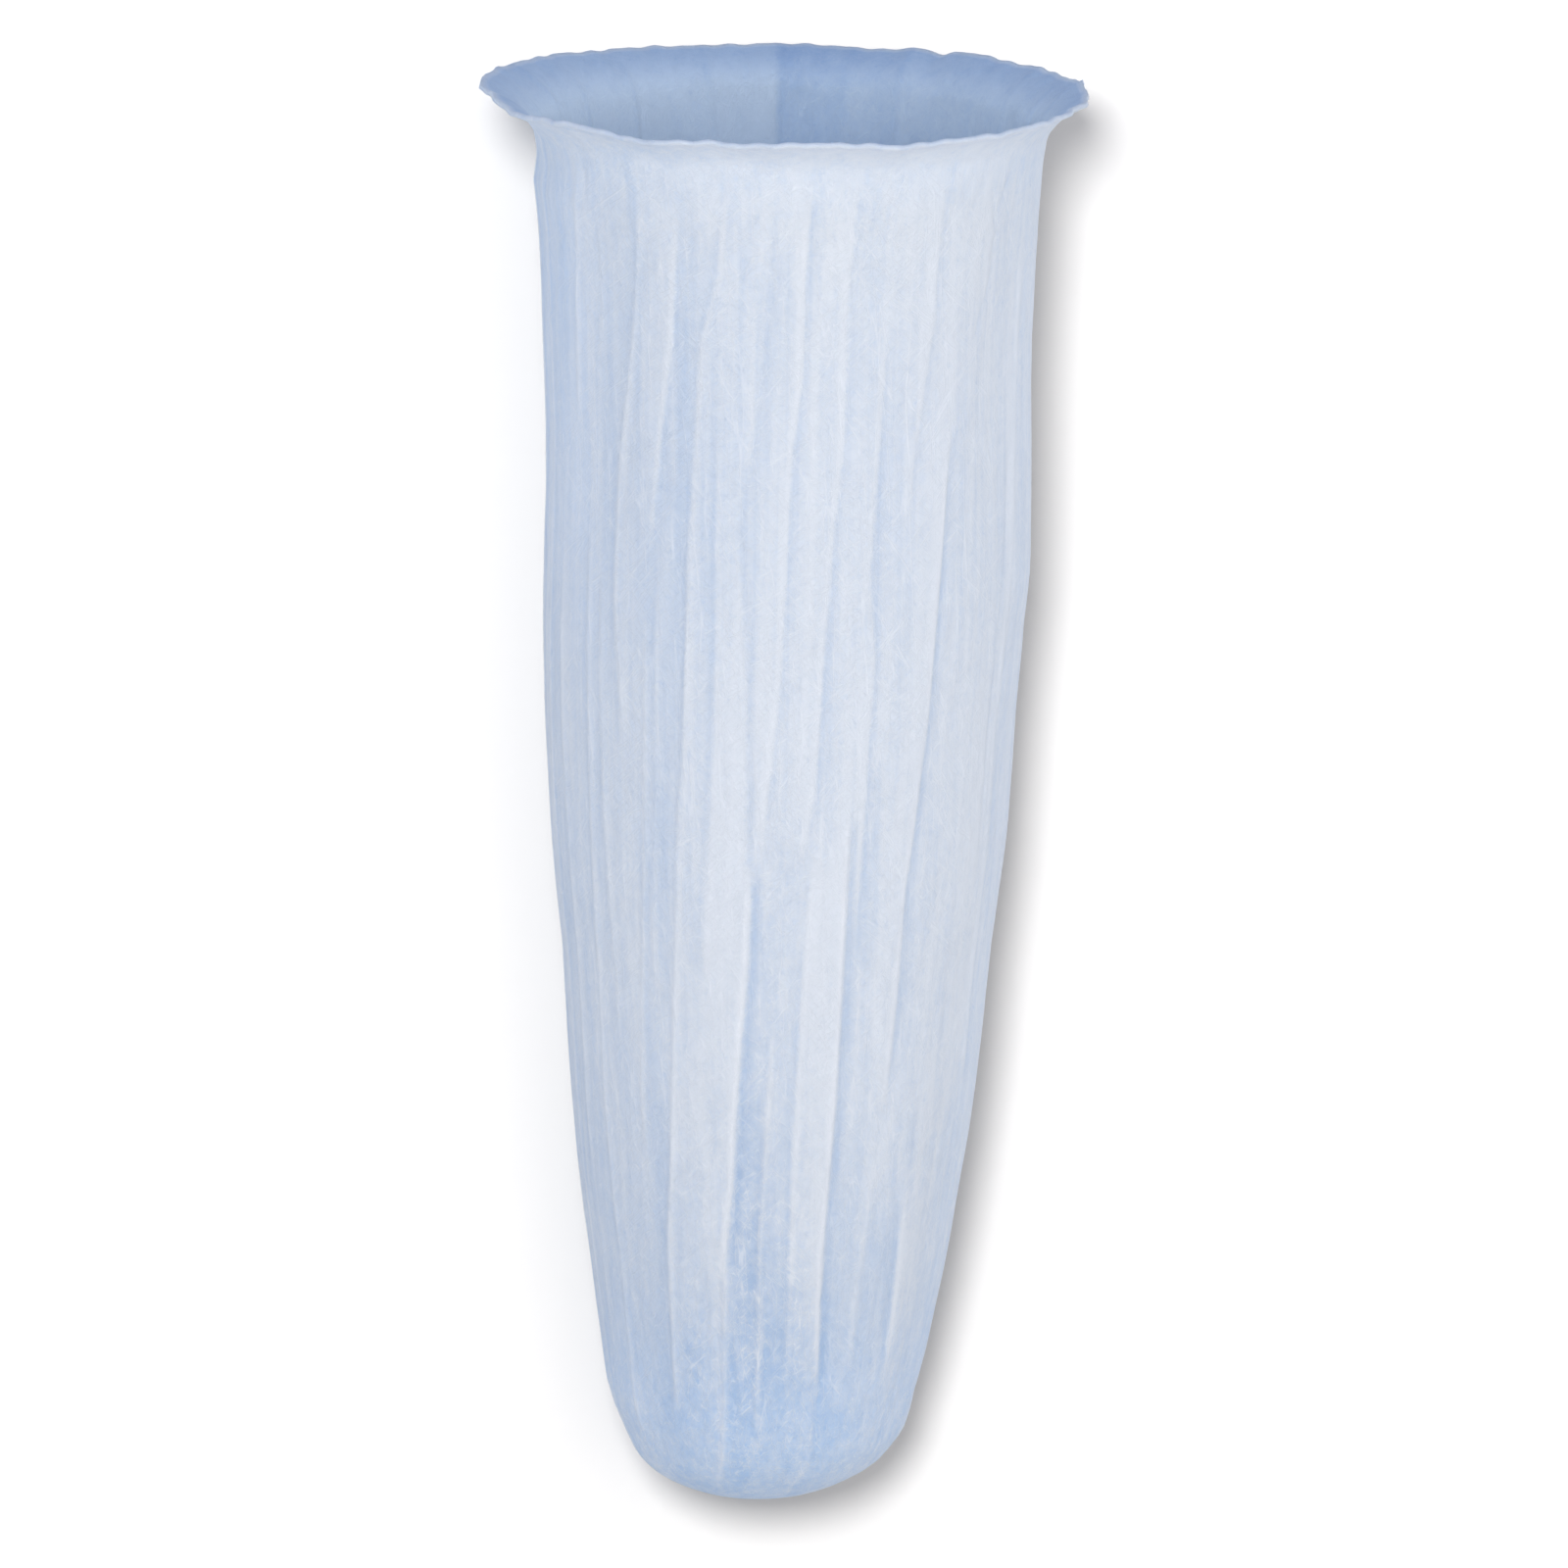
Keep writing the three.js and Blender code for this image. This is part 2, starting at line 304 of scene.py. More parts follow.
class Skin:
    """The felt's relief, tone, painted highlights and painted shade, and dark specks on a grid of depth and
    angle, and its rim's waves.
    """

    def __init__(self, depth, angle, radius):
        self.depth, self.angle = np.broadcast_arrays(depth[:, None], angle[None, :])
        self.radius = np.maximum(radius[:, None], LEAST_RADIUS)
        shape = self.depth.shape
        self.relief = np.zeros(shape)
        self.light = np.zeros(shape)
        self.dark = np.zeros(shape)
        self.tone = np.zeros(shape)

    def add_crease(self, kind, height, centre, there):
        across = wrapped(self.angle - centre) * self.radius
        if height < 0:
            height, across = -height, -across
        rise, light, dark = crease(kind, across, height)
        self.relief += height * MM * there * rise
        # painted highlight and painted shade along the crease
        self.light = np.maximum(self.light, min(1.0, height) * there * light)
        self.dark = np.maximum(self.dark, min(1.0, height) * there * dark)

    def add_tone(self, tones, centre, there):
        across = wrapped(self.angle - centre) * self.radius
        self.tone += there * tone_beside(across, *tones)

    def add_folds(self):
        for kind, height, left, right, route in FRONT_CREASES:
            centre = along_route(route, self.depth)
            self.add_crease(kind, height, centre, share_of(route, self.depth, FOLD_RUN))
            self.add_tone((left, right), centre, share_of(route, self.depth, TONE_RUN, TONE_BEYOND))
        everywhere = np.ones_like(self.depth)
        for height, top, middle, toe in BACK_FOLDS:
            route = [(0, top), (TOE_DEPTH / MM / 2, middle), (TOE_DEPTH / MM, toe)]
            centre = along_route(route, self.depth)
            self.add_crease("step", height, centre, everywhere)
            self.add_tone([height * tone for tone in BACK_TONES], centre, everywhere)
        for height, route in PUCKERS:
            centre = along_route(route, self.depth)
            # each pucker gets painted shade along it
            self.add_crease("groove", height, centre, share_of(route, self.depth, PUCKER_RUN))

    def away_from(self, start, end):
        """Distance over the felt from a short straight line between two (depth, angle) points."""
        places = []
        for depth, angle in (start, end):
            across = wrapped(self.angle - math.radians(angle)) * self.radius
            places.append((across, self.depth - depth * MM))
        (x0, y0), (x1, y1) = places
        along_x, along_y = x0 - x1, y0 - y1
        length_squared = along_x**2 + along_y**2 + LEAST_LENGTH_SQUARED
        share = np.clip((x0 * along_x + y0 * along_y) / length_squared, 0, 1)
        return np.hypot(x0 - share * along_x, y0 - share * along_y)

    def add_marks(self):
        for start, end in DENTS:
            mark = np.exp(-((self.away_from(start, end) / DENT_WIDTH) ** 2))
            self.relief -= DENT_DEPTH * mark
            # painted shade in the dent
            self.dark = np.maximum(self.dark, DENT_SHADE * mark)
        for place in SPECKS:
            mark = np.exp(-((self.away_from(place, place) / SPECK_SIZE) ** 2))
            self.dark = np.maximum(self.dark, mark)

    def add_flats(self):
        for middle, half, deep in FLATS:
            off = wrapped(self.angle - math.radians(middle)) / math.radians(half)
            dent = np.where(np.abs(off) < 1, 0.5 + 0.5 * np.cos(math.pi * off), 0)
            self.relief -= deep * MM * dent * smooth(self.depth / FLAT_RUN)

    def add_crinkle(self, seed, count, turns, length, height):
        """Many seeded waves, whole numbers of turns round and any pitch down, that leave no seam."""
        draw = np.random.default_rng(seed)
        total = np.zeros_like(self.relief)
        for _ in range(count):
            round_it = draw.integers(*turns)
            down = draw.uniform(-1, 1) * 2 * math.pi / length
            total += np.cos(round_it * self.angle + down * self.depth + draw.uniform(0, 2 * math.pi))
        self.relief += height * total / math.sqrt(count)

    def fade(self):
        """Little relief at the rim, and none at the tip."""
        runs_in = RIM_RELIEF + (1 - RIM_RELIEF) * smooth((self.depth + FLARE_RISE) / RELIEF_RUN)
        closing = np.clip((self.depth - TOE_DEPTH) / TOE_LENGTH, 0, 1)
        self.relief = self.relief * runs_in * (1 - closing**2)

    def side_shape(self):
        """What makes the sock's two sides uneven."""
        depths = np.array([row[0] for row in SIDE_SHAPE]) * MM
        full = np.minimum(1, self.radius / SIDE_FULL_RADIUS)
        total = np.zeros_like(self.relief)
        for column, side in ((1, -1), (2, 1)):
            out = np.interp(self.depth, depths, [row[column] for row in SIDE_SHAPE])
            total += out * np.maximum(0, side * np.sin(self.angle)) ** 2
        return total * full * MM

    def lean(self):
        return TOE_LEAN * smooth((self.depth - TOE_LEAN_START) / TOE_LEAN_RUN)

    def rim_lift(self):
        flared = np.clip(-self.depth / FLARE_RISE, 0, 1)
        angles = np.radians([a for a, _ in RIM_LIFT])
        lifts = np.array([v for _, v in RIM_LIFT]) * MM
        lift = np.interp(self.angle, angles, lifts, period=2 * math.pi)
        return (lift + waves_at(LIFT_WAVES, self.angle) * MM) * flared**LIFT_POWER

    def rim_ruffle(self):
        flared = np.clip(-self.depth / FLARE_RISE, 0, 1)
        return RIM_RUFFLE * waves_at(RUFFLE_WAVES, self.angle) * flared


def skin_grid(counts, angle, inward):
    """Vertices of one skin, row by row from the rim, and the skin that shaped them."""
    radius, height, depth = rows_of(counts)
    skin = Skin(depth, angle, radius)
    skin.add_flats()
    skin.add_folds()
    skin.add_marks()
    for crinkle in CRINKLES:
        skin.add_crinkle(*crinkle)
    skin.fade()
    dr, dz = np.gradient(np.append(radius, 0)), np.gradient(np.append(height, -BODY_LENGTH))
    length = np.hypot(dr, dz)
    r = radius + inward * (dz / length)[:-1]
    z = height - inward * (dr / length)[:-1]
    r = r[:, None] + skin.relief + skin.rim_ruffle() + skin.side_shape()
    z = z[:, None] + skin.rim_lift()
    points = np.stack([skin.lean() + r * np.sin(skin.angle), -r * np.cos(skin.angle), z], axis=-1)
    return points, skin


def total_of(zones, skin):
    """The sum of some zones, each the product of its value at an angle and its share at a depth."""
    depth, angle = skin.depth / MM, np.degrees(wrapped(skin.angle))
    return sum(eased(angle, angles) * eased(depth, depths) for angles, depths in zones)


# Thin patches low on the front: middle angle, half width, middle depth, half length and strength
THIN_PATCHES = [(-6, 7, 242, 42, 1.0), (8, 5, 245, 28, 0.6), (-25, 6, 256, 14, 0.6), (17, 5, 262, 18, 0.5)]
THIN_TOE = [(235, 0), (285, 0.45)]  # depth and share
THIN_TIP = 0.5


def thinness(skin):
    """Where the felt is so thin that single fibres show: a few patches and the toe."""
    depth, angle = skin.depth / MM, np.degrees(wrapped(skin.angle))
    total = eased(depth, THIN_TOE)
    for middle, half, centre, reach, share in THIN_PATCHES:
        off = ((angle - middle) / half) ** 2 + ((depth - centre) / reach) ** 2
        total = total + share * np.exp(-off)
    return np.clip(total, 0, 1)


# The felt's tone apart from its creases: bluer beside the middle and towards the toe, and bluer at both sides
# as painted shade where they turn from the light. Each zone has its tone at angles and its share at depths in
# millimetres.
TONE_ZONES = [
    ([(-35, -0.12), (-15, 0)], [(0, 1)]),
    ([(-58, 0), (-36, -0.26), (-10, -0.26), (12, 0)], [(0, 0.3), (20, 1), (75, 1), (125, 0.45)]),
    ([(2, 0), (12, -0.15), (22, -0.15), (34, 0)], [(15, 0), (45, 1), (185, 1), (235, 0)]),
    ([(-65, -0.12), (-50, 0)], [(30, 1), (70, 0)]),
    ([(45, 0), (80, -0.15)], [(0, 1)]),
    ([(-55, -0.10), (-25, -0.42)], [(165, 0), (285, 1)]),
    ([(-4, 0), (4, -0.20), (25, -0.20), (40, 0)], [(225, 0), (255, 1), (270, 1), (288, 0.4)]),
]
TIP_TONE = -0.4

# Where the felt is cooler: at the tip, and at the lip and both sides as painted bluish shade
COOL_TIP_AND_SHADE_ZONES = [
    ([(0, 1)], [(235, 0), (280, 1)]),
    ([(0, 1)], [(-4, 1), (12, 0)]),
    ([(-62, 1), (-40, 0)], [(60, 1), (120, 0.2)]),
    ([(55, 0), (80, 0.6)], [(0, 1)]),
]

# Painted shade: the back of the inside is darker on one side of a fold
INNER_FOLD_ANGLE = 183.0
INNER_FOLD_REACH = 28 * MM
INNER_FOLD_SHADE = -0.45
CUT_EDGE_SHADE = 0.45  # share of the inside's painted shade on the rim's cut edge


def inner_fold_shade(skin):
    """Painted shade on the inside's back, beside a fold."""
    across = wrapped(skin.angle - math.radians(INNER_FOLD_ANGLE)) * skin.radius
    darker = 0.5 - 0.5 * np.tanh(across / TONE_STEP)
    return INNER_FOLD_SHADE * darker * np.exp(np.minimum(0, across) / INNER_FOLD_REACH)


def quads(rows):
    """Faces of a grid that closes on itself across its columns."""
    i, j = np.meshgrid(np.arange(rows - 1), np.arange(COLUMNS), indexing="ij")
    k = (j + 1) % COLUMNS
    a, b = i * COLUMNS + j, i * COLUMNS + k
    c, d = (i + 1) * COLUMNS + k, (i + 1) * COLUMNS + j
    return np.stack([a, b, c, d], axis=-1).reshape(-1, 4)


def sock_mesh():
    """One grid, from the outer tip up over the rim and down to the inner tip, with a fan at each tip."""
    angle = -math.pi + 2 * math.pi * np.arange(COLUMNS) / COLUMNS
    outer, outer_skin = skin_grid(OUTER_ROWS, angle, 0)
    inner, inner_skin = skin_grid(INNER_ROWS, angle, WALL)
    rows = len(outer) + len(inner)
    grid = np.concatenate([outer[::-1], inner])
    tips = np.array([[TOE_LEAN, 0, -BODY_LENGTH], [TOE_LEAN, 0, -BODY_LENGTH + WALL]])
    points = np.concatenate([grid.reshape(-1, 3), tips])
    first, last = range(COLUMNS), range((rows - 1) * COLUMNS, rows * COLUMNS)
    outer_tip, inner_tip = rows * COLUMNS, rows * COLUMNS + 1
    fans = [(outer_tip, first[(j + 1) % COLUMNS], first[j]) for j in range(COLUMNS)]
    fans += [(inner_tip, last[j], last[(j + 1) % COLUMNS]) for j in range(COLUMNS)]

    mesh = bpy.data.meshes.new("felt_sock")
    mesh.from_pydata(points.tolist(), [], quads(rows).tolist() + fans)
    mesh.polygons.foreach_set("use_smooth", np.ones(len(mesh.polygons), bool))
    add_masks(mesh, outer_skin, inner_skin)
    add_bake_map(mesh, rows)
    mesh.update()
    return mesh


def add_masks(mesh, outer, inner):
    """What the material reads at each point: values on both skins, and at the outer and the inner tip."""

    def mask(name, outer_values, inner_values, at_tips):
        outer_values = np.broadcast_to(outer_values, outer.relief.shape)
        inner_values = np.broadcast_to(inner_values, inner.relief.shape)
        values = np.append(np.concatenate([outer_values[::-1], inner_values]), at_tips)
        layer = mesh.attributes.new(name, "FLOAT", "POINT")
        layer.data.foreach_set("value", values.astype(np.float32))

    behind_edge = np.ones(inner.relief.shape)
    behind_edge[0] = CUT_EDGE_SHADE
    # tone: painted shade at the sides, and partly painted light and shade beside the creases
    outer_tone = total_of(TONE_ZONES, outer) + outer.tone
    # the inner tone holds painted shade beside the back fold
    inner_tone = INNER_SHARE * inner.tone + inner_fold_shade(inner)
    # where the painted shade inside falls, less of it on the rim's cut edge
    mask("inside", 0, behind_edge, [0, 1])
    # painted highlights along the creases
    mask("painted_highlight_edge", outer.light, INNER_HIGHLIGHT_SHARE * inner.light, [0, 0])
    # painted shade beside the creases and in the dents, and dark specks
    mask("painted_shade_and_specks", outer.dark, INNER_SHARE * inner.dark, [0, 0])
    mask("thin", thinness(outer), thinness(inner), [THIN_TIP, THIN_TIP])
    mask("tone", outer_tone, inner_tone, [TIP_TONE, 0])
    # cooler colour at the tip, and painted bluish shade at the lip and sides
    mask("cool_tip_and_shade", np.minimum(1, total_of(COOL_TIP_AND_SHADE_ZONES, outer)), 0, [1, 0])
    mask("inner_wall", 0, smooth(1 + inner.depth / FLARE_RISE), [0, 1])


def add_bake_map(mesh, rows):
    """A map that unrolls the grid: round the sock in u, and from the outer tip to the inner tip in v."""
    count = len(mesh.loops)
    vertex = np.zeros(count, np.int32)
    mesh.loops.foreach_get("vertex_index", vertex)
    size = np.zeros(len(mesh.polygons), np.int32)
    mesh.polygons.foreach_get("loop_total", size)
    face = np.repeat(np.arange(len(size)), size)
    row, column = vertex // COLUMNS, (vertex % COLUMNS).astype(float)
    tip = vertex >= rows * COLUMNS
    v = (row + 1.0) / (rows + 1)
    v[tip] = np.where(vertex[tip] == rows * COLUMNS, 0, 1)

    # In a face that crosses the seam, column 0 is the far end of the map
    wide = np.zeros(len(size), bool)
    np.logical_or.at(wide, face[~tip], column[~tip] == COLUMNS - 1)
    column[wide[face] & (column == 0) & ~tip] = COLUMNS
    mean = np.bincount(face[~tip], column[~tip], len(size)) / np.bincount(face[~tip], minlength=len(size))
    column[tip] = mean[face[tip]]
    layer = mesh.uv_layers.new(name="OFBake")
    layer.uv.foreach_set("vector", np.stack([column / COLUMNS, v], axis=-1).ravel().astype(np.float32))


class Nodes:
    """Short calls for building a material's nodes."""

    def __init__(self, tree):
        self.tree = tree

    def new(self, kind, inputs=None, **settings):
        made = self.tree.nodes.new("ShaderNode" + kind)
        for name, value in settings.items():
            setattr(made, name, value)
        for name, value in (inputs or {}).items():
            self.put(made.inputs[name], value)
        return made

    def put(self, socket, value):
        if isinstance(value, bpy.types.NodeSocket):
            self.tree.links.new(value, socket)
        else:
            socket.default_value = value

    def math(self, operation, first, second=0.0, third=0.0, clamp=False):
        made = self.new("Math", operation=operation, use_clamp=clamp)
        for socket, value in zip(made.inputs, (first, second, third)):
            self.put(socket, value)
        return made.outputs[0]

    def blend(self, share, first, second, how="MIX"):
        made = self.new("Mix", data_type="RGBA", blend_type=how, clamp_factor=True)
        self.put(made.inputs["Factor"], share)
        self.put(made.inputs["A"], first)
        self.put(made.inputs["B"], second)
        return made.outputs["Result"]

    def between(self, value, low, high):
        """value from low..high brought to 0..1, smoothly."""
        made = self.new("MapRange", interpolation_type="SMOOTHSTEP")
        for name, given in (("Value", value), ("From Min", low), ("From Max", high)):
            self.put(made.inputs[name], given)
        return made.outputs["Result"]

    def mask(self, name):
        return self.new("Attribute", attribute_name=name, attribute_type="GEOMETRY").outputs["Fac"]

    def both(self, kind, first, second, inputs=None):
        """Two shaders, added or mixed."""
        made = self.new(kind, inputs)
        for socket, shader in zip(list(made.inputs)[-2:], (first, second)):
            self.put(socket, shader.outputs[0])
        return made

    def finish(self, shader, kind="Material"):
        self.new("Output" + kind, {"Surface": shader.outputs[0]})


def new_material(name):
    """An empty material, and the calls that build its nodes."""
    material = bpy.data.materials.new(name)
    material.use_nodes = True
    material.node_tree.nodes.clear()
    return material, Nodes(material.node_tree)


def fibres(nodes, place, height, twist, across, along, width):
    """Thin bright lines that run down the sock, wound round it by twist radians a metre."""
    angle = nodes.math("MULTIPLY", height, twist)
    wound = nodes.new("VectorRotate", {"Vector": place, "Angle": angle}, rotation_type="Z_AXIS")
    stretched = nodes.new("Mapping", {"Vector": wound.outputs[0], "Scale": (across, across, along)})
    noise = nodes.new("TexNoise", {"Vector": stretched.outputs[0]} | FIBRE_NOISE)
    level = nodes.math("ABSOLUTE", nodes.math("SUBTRACT", noise.outputs["Fac"], 0.5))
    return nodes.between(level, width, 0.0)


def strips(nodes, place, across, along):
    """Signed lengthwise strips, -1 to 1."""
    tall = nodes.new("Mapping", {"Vector": place, "Scale": (across, across, along)})
    noise = nodes.new("TexNoise", {"Vector": tall.outputs[0]} | STRIP_NOISE)
    return nodes.math("MULTIPLY_ADD", noise.outputs["Fac"], 2.0, -1.0)


FELT_COLOUR = (0.684, 0.731, 0.792, 1)
WHITE_COLOUR = (0.81, 0.84, 0.885, 1)
BLUE_COLOUR = (0.40, 0.52, 0.70, 1)
COOL_FELT_COLOUR = (0.680, 0.745, 0.838, 1)  # the felt and its blue where they are cooler: at the tip, and as painted bluish shade at the lip and sides
COOL_BLUE_COLOUR = (0.40, 0.56, 0.79, 1)
# Painted shade inside the sock: darker and bluer in the flare, a little bluer down the inner wall
FLARE_INSIDE_SHADE = (0.45, 0.58, 0.77, 1)
WALL_INSIDE_SHADE = (0.85, 0.955, 1.05, 1)
INNER_SHARE = 0.22  # of the creases' tone and painted shade that shows on the inner skin
INNER_HIGHLIGHT_SHARE = 0.0484  # of their painted highlights

# How much each thing changes the felt's tone
BROAD_STRIPS = (0.38, 250, 8)  # tone, and the noise's scale across and along
FINE_STRIPS = (0.25, 800, 14)
INNER_CALM = 0.5  # the strips are fainter on the inner wall
PATCH_TONE, THIN_PATCH_TONE = 0.24, 0.6
FIBRE_TONE, THIN_FIBRE_TONE = 0.16, 0.32
THIN_TONE = -0.22
# painted shade beside the creases and in the dents, and dark specks
PAINTED_SHADE_AND_SPECK_TONE = -0.32
# painted highlight along the creases
PAINTED_HIGHLIGHT_TONE = 0.55
SPECK_TONE = -0.22
SPECK_LEVELS = (0.52, 0.8)


def felt_colour(nodes, felted, cloud, grain, place):
    """White felt that turns bluer where the tone is low, with its strips, fibres, creases and specks, painted
    highlights and painted shade along its creases and dents, and painted shade inside.
    """

    def added(share, amount, tone):
        return nodes.math("MULTIPLY_ADD", share, amount, tone)

    broad_tone, *broad_scale = BROAD_STRIPS
    fine_tone, *fine_scale = FINE_STRIPS
    broad = nodes.math("MULTIPLY", strips(nodes, place, *broad_scale), broad_tone)
    striped = added(strips(nodes, place, *fine_scale), fine_tone, broad)
    calm = added(nodes.mask("inner_wall"), -INNER_CALM, 1.0)
    tone = added(striped, calm, nodes.mask("tone"))
    thin = nodes.mask("thin")
    patchy = added(cloud, 2.0, -1.0)
    tone = added(patchy, added(thin, THIN_PATCH_TONE, PATCH_TONE), tone)
    tone = added(thin, THIN_TONE, tone)
    # painted shade beside the creases and in the dents, and dark specks
    tone = added(nodes.mask("painted_shade_and_specks"), PAINTED_SHADE_AND_SPECK_TONE, tone)
    # painted highlight along the creases
    tone = added(nodes.mask("painted_highlight_edge"), PAINTED_HIGHLIGHT_TONE, tone)
    tone = added(felted, added(thin, THIN_FIBRE_TONE, FIBRE_TONE), tone)
    tone = added(nodes.between(grain, *SPECK_LEVELS), SPECK_TONE, tone)
    # cooler colour at the tip, and painted bluish shade at the lip and sides
    cool_tip_and_shade = nodes.mask("cool_tip_and_shade")
    felt = nodes.blend(cool_tip_and_shade, FELT_COLOUR, COOL_FELT_COLOUR)
    blue = nodes.blend(cool_tip_and_shade, BLUE_COLOUR, COOL_BLUE_COLOUR)
    colour = nodes.blend(nodes.math("MULTIPLY", tone, -1.0, clamp=True), felt, blue)
    colour = nodes.blend(nodes.math("MULTIPLY", tone, 1.0, clamp=True), colour, WHITE_COLOUR)
    # painted shade inside the sock
    inside_shade = nodes.blend(nodes.mask("inner_wall"), FLARE_INSIDE_SHADE, WALL_INSIDE_SHADE)
    return nodes.blend(nodes.mask("inside"), colour, inside_shade, "MULTIPLY")


# Fibres at five leans, from almost upright to about 55 degrees over: twist in radians a metre, the noise's
# scale across and along, and the line's width
FIBRES = [
    (2, 520, 20, 0.02),
    (13, 600, 24, 0.018),
    (-15, 600, 24, 0.018),
    (27, 560, 30, 0.016),
    (-31, 560, 30, 0.016),
]
FIBRE_NOISE = {"Scale": 1.0, "Detail": 0.6, "Roughness": 0.5}
STRIP_NOISE = {"Scale": 1.0, "Detail": 3.0, "Roughness": 0.55}
CLOUD_NOISE = {"Scale": 360.0, "Detail": 4.0, "Roughness": 0.65}
GRAIN_NOISE = {"Scale": 900.0, "Detail": 3.0, "Roughness": 0.6}
FIBRE_RELIEF, GRAIN_RELIEF, CLOUD_RELIEF = 0.7, 0.8, 1.6
RELIEF_STRENGTH, RELIEF_DEPTH = 0.5, 0.15 * MM
ROUGHNESS, ROUGHNESS_GRAIN = 0.84, 0.12
FELT_FINISH = {"Sheen Weight": 0.1, "Sheen Roughness": 0.5, "Specular IOR Level": 0.25}


def felt_material():
    material, nodes = new_material("felt")
    place = nodes.new("TexCoord").outputs["Object"]
    height = nodes.new("SeparateXYZ", {"Vector": place}).outputs["Z"]

    felted = 0.0
    for twist, across, along, width in FIBRES:
        strand = fibres(nodes, place, height, twist, across, along, width)
        felted = nodes.math("MAXIMUM", strand, felted)

    cloud = nodes.new("TexNoise", {"Vector": place} | CLOUD_NOISE).outputs["Fac"]
    grain = nodes.new("TexNoise", {"Vector": place} | GRAIN_NOISE).outputs["Fac"]
    colour = felt_colour(nodes, felted, cloud, grain, place)

    relief = nodes.math("MULTIPLY", grain, GRAIN_RELIEF)
    relief = nodes.math("MULTIPLY_ADD", felted, FIBRE_RELIEF, relief)
    relief = nodes.math("MULTIPLY_ADD", cloud, CLOUD_RELIEF, relief)
    bump = nodes.new("Bump", {"Height": relief, "Strength": RELIEF_STRENGTH, "Distance": RELIEF_DEPTH})
    rough = nodes.math("MULTIPLY_ADD", grain, ROUGHNESS_GRAIN, ROUGHNESS)
    given = {"Base Color": colour, "Roughness": rough, "Normal": bump.outputs[0]}
    nodes.finish(nodes.new("BsdfPrincipled", given | FELT_FINISH))
    return material


def make_sock():
    sock = bpy.data.objects.new("felt_sock", sock_mesh())
    bpy.context.scene.collection.objects.link(sock)
    sock.data.materials.append(felt_material())
    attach(sock, "root")
    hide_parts(NODE)


# Camera, matched to the photo: how far off, how high above the rim, and how much the picture is rolled
CAMERA_DISTANCE = 2.0
RIM_ELEVATION = math.radians(9.4)
AIM_ELEVATION = math.radians(13.47)
PHOTO_ROLL = math.radians(1.05)
CAMERA_SIDE = 1.2 * MM
SENSOR = 36.0
LENS = 222.6


def make_camera():
    data = bpy.data.cameras.new("camera")
    data.sensor_width = SENSOR
    data.lens = LENS
    camera = bpy.data.objects.new("camera", data)
    bpy.context.scene.collection.objects.link(camera)
    camera.location = (
        CAMERA_SIDE,
        -CAMERA_DISTANCE * math.cos(RIM_ELEVATION),
        FLARE_RISE + CAMERA_DISTANCE * math.sin(RIM_ELEVATION),
    )
    upright = Euler((math.pi / 2 - AIM_ELEVATION, 0, 0)).to_matrix()
    rolled = Euler((0, 0, PHOTO_ROLL)).to_matrix()
    camera.rotation_euler = (upright @ rolled).to_euler()
    bpy.context.scene.camera = camera


# The world fills from all sides, less from above
FILL_COLOUR = (0.80, 0.865, 0.955, 1)
OVERHEAD_COLOUR = (0.645, 0.72, 0.93, 1)
OVERHEAD_LEVELS = (0.1, 0.9)  # the upward share of a direction, from all fill to all overhead
WHITE = (1, 1, 1, 1)


def make_world():
    world = bpy.data.worlds.new("world")
    bpy.context.scene.world = world
    world.use_nodes = True
    nodes = Nodes(world.node_tree)
    world.node_tree.nodes.clear()
    direction = nodes.new("TexCoord").outputs["Generated"]
    height = nodes.new("SeparateXYZ", {"Vector": direction}).outputs["Z"]
    colour = nodes.blend(nodes.between(height, *OVERHEAD_LEVELS), FILL_COLOUR, OVERHEAD_COLOUR)
    fill = nodes.new("Background", {"Color": colour, "Strength": 1.0})
    white = nodes.new("Background", {"Color": WHITE, "Strength": 1.0})
    nodes.finish(nodes.both("MixShader", fill, white, {"Fac": seen_directly(nodes)}), "World")


def seen_directly(nodes):
    """1 for what the camera sees, mirrored or through glass too, and 0 for the light on other things."""
    path = nodes.new("LightPath").outputs
    shiny = nodes.math("MAXIMUM", path["Is Glossy Ray"], path["Is Transmission Ray"])
    return nodes.math("MAXIMUM", path["Is Camera Ray"], shiny)


# Stage: a floor below the toe and a card close behind, both white to the camera where they are lit. The card
# leans in towards the toe. How far it is behind the axis is given at its top height and at the toe's tip.
FLOOR_HEIGHT = -345 * MM
CARD_TOP_HEIGHT = 10 * MM
CARD_TOP_BEHIND = 68 * MM
CARD_TOE_BEHIND = 42 * MM
CARD_SIZE = (1.6, 1.2)
FLOOR_SIZE = 6.0
STAGE_COLOUR = (0.50, 0.493, 0.485, 1)
CARD_BOUNCE_COLOUR = (0.36, 0.36, 0.36, 1)  # how the sock sees the card
FLOOR_GLOW = 0.5


def backdrop_material():
    """Matt and pale from its front, and see-through from behind."""
    material, nodes = new_material("backdrop")
    colour = nodes.blend(seen_directly(nodes), CARD_BOUNCE_COLOUR, STAGE_COLOUR)
    matt = nodes.new("BsdfDiffuse", {"Color": colour})
    clear = nodes.new("BsdfTransparent")
    behind = nodes.new("NewGeometry").outputs["Backfacing"]
    nodes.finish(nodes.both("MixShader", matt, clear, {"Fac": behind}))
    return material


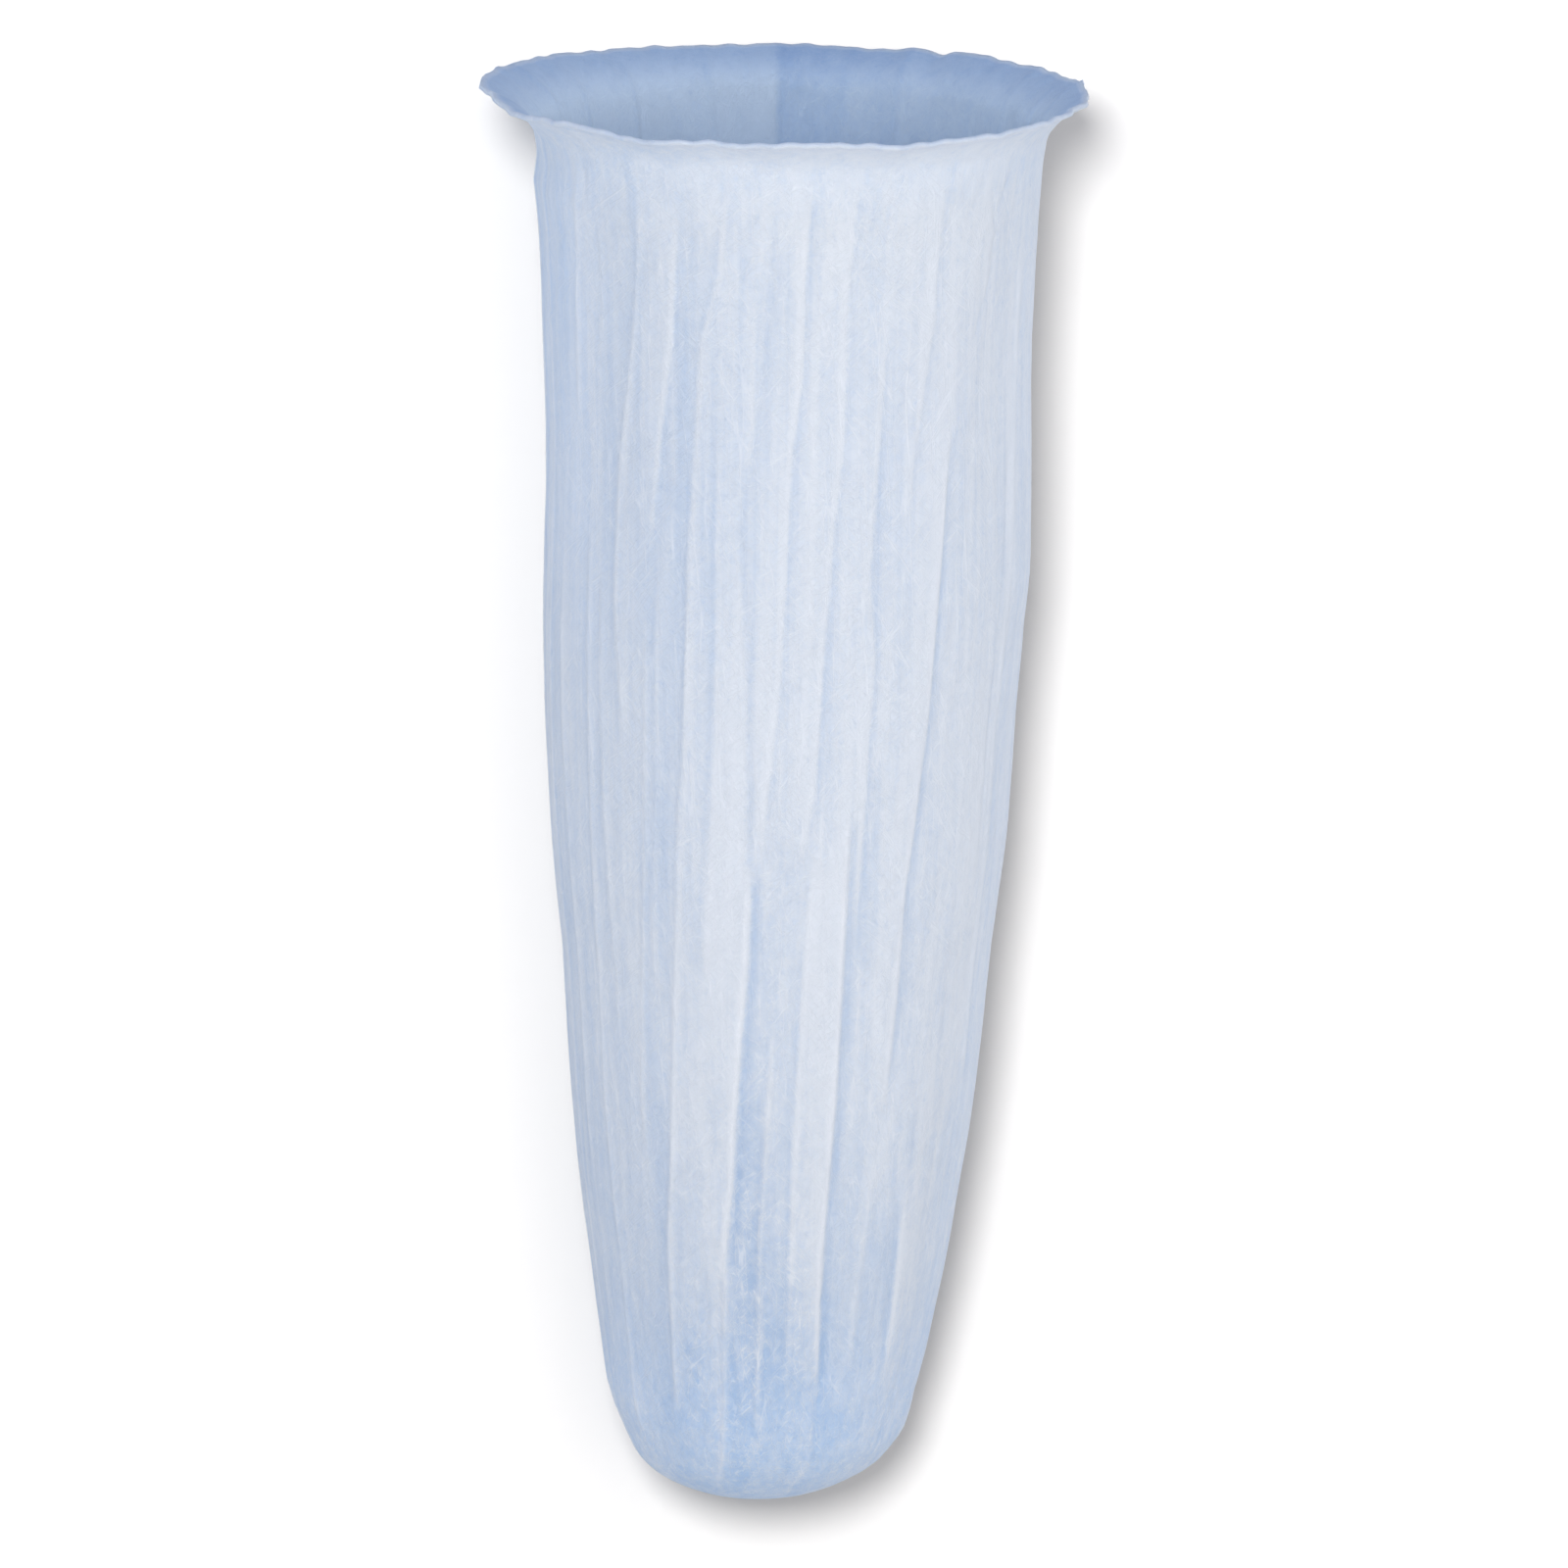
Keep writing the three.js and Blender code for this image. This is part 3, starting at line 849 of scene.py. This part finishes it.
def floor_material():
    """Matt, with a glow that only the camera sees."""
    material, nodes = new_material("floor")
    matt = nodes.new("BsdfDiffuse", {"Color": STAGE_COLOUR})
    strength = nodes.math("MULTIPLY", seen_directly(nodes), FLOOR_GLOW)
    glow = nodes.new("Emission", {"Color": WHITE, "Strength": strength})
    nodes.finish(nodes.both("AddShader", matt, glow))
    return material


def make_plane(name, corners, material):
    mesh = bpy.data.meshes.new(name)
    mesh.from_pydata(corners, [], [(0, 1, 2, 3)])
    plane = bpy.data.objects.new(name, mesh)
    bpy.context.scene.collection.objects.link(plane)
    plane.data.materials.append(material)
    return plane


def make_stage():
    s, z = FLOOR_SIZE / 2, FLOOR_HEIGHT
    floor = make_plane("floor", [(-s, -s, z), (s, -s, z), (s, s, z), (-s, s, z)], floor_material())
    w, h = CARD_SIZE[0] / 2, CARD_SIZE[1]
    slope = (CARD_TOP_BEHIND - CARD_TOE_BEHIND) / (CARD_TOP_HEIGHT + BODY_LENGTH)
    low = CARD_TOP_BEHIND + slope * (z - CARD_TOP_HEIGHT)
    high = low + slope * h
    corners = [(-w, low, z), (w, low, z), (w, high, z + h), (-w, high, z + h)]
    card = make_plane("backdrop", corners, backdrop_material())
    return floor, card


def make_lamp(name, place, aim, size, energy, colour):
    data = bpy.data.lights.new(name, "AREA")
    data.shape = "DISK"
    data.size = size
    data.energy = energy
    data.color = colour
    lamp = bpy.data.objects.new(name, data)
    bpy.context.scene.collection.objects.link(lamp)
    lamp.location = place
    lamp.rotation_euler = (Vector(aim) - Vector(place)).to_track_quat("-Z", "Y").to_euler()
    return lamp


# Lamps: place, aim, size, watts and colour. The first lights all, the second only the stage.
KEY_LAMP = ((0.40, -1.75, 0.28), (0, 0, -0.12), 0.7, 9.1, (1.0, 0.87, 0.69))
SHADOW_LAMP = ((-0.15, -1.95, 0.52), (0, 0, -0.15), 0.38, 58.0, (1, 1, 1))


def make_lamps(stage):
    make_lamp("key", *KEY_LAMP)
    shadow = make_lamp("shadow", *SHADOW_LAMP)
    only = bpy.data.collections.new("stage_only")
    for piece in stage:
        only.objects.link(piece)
    shadow.light_linking.receiver_collection = only


bpy.context.scene.view_settings.view_transform = "Standard"
make_camera()
make_world()
make_sock()
make_lamps(make_stage())
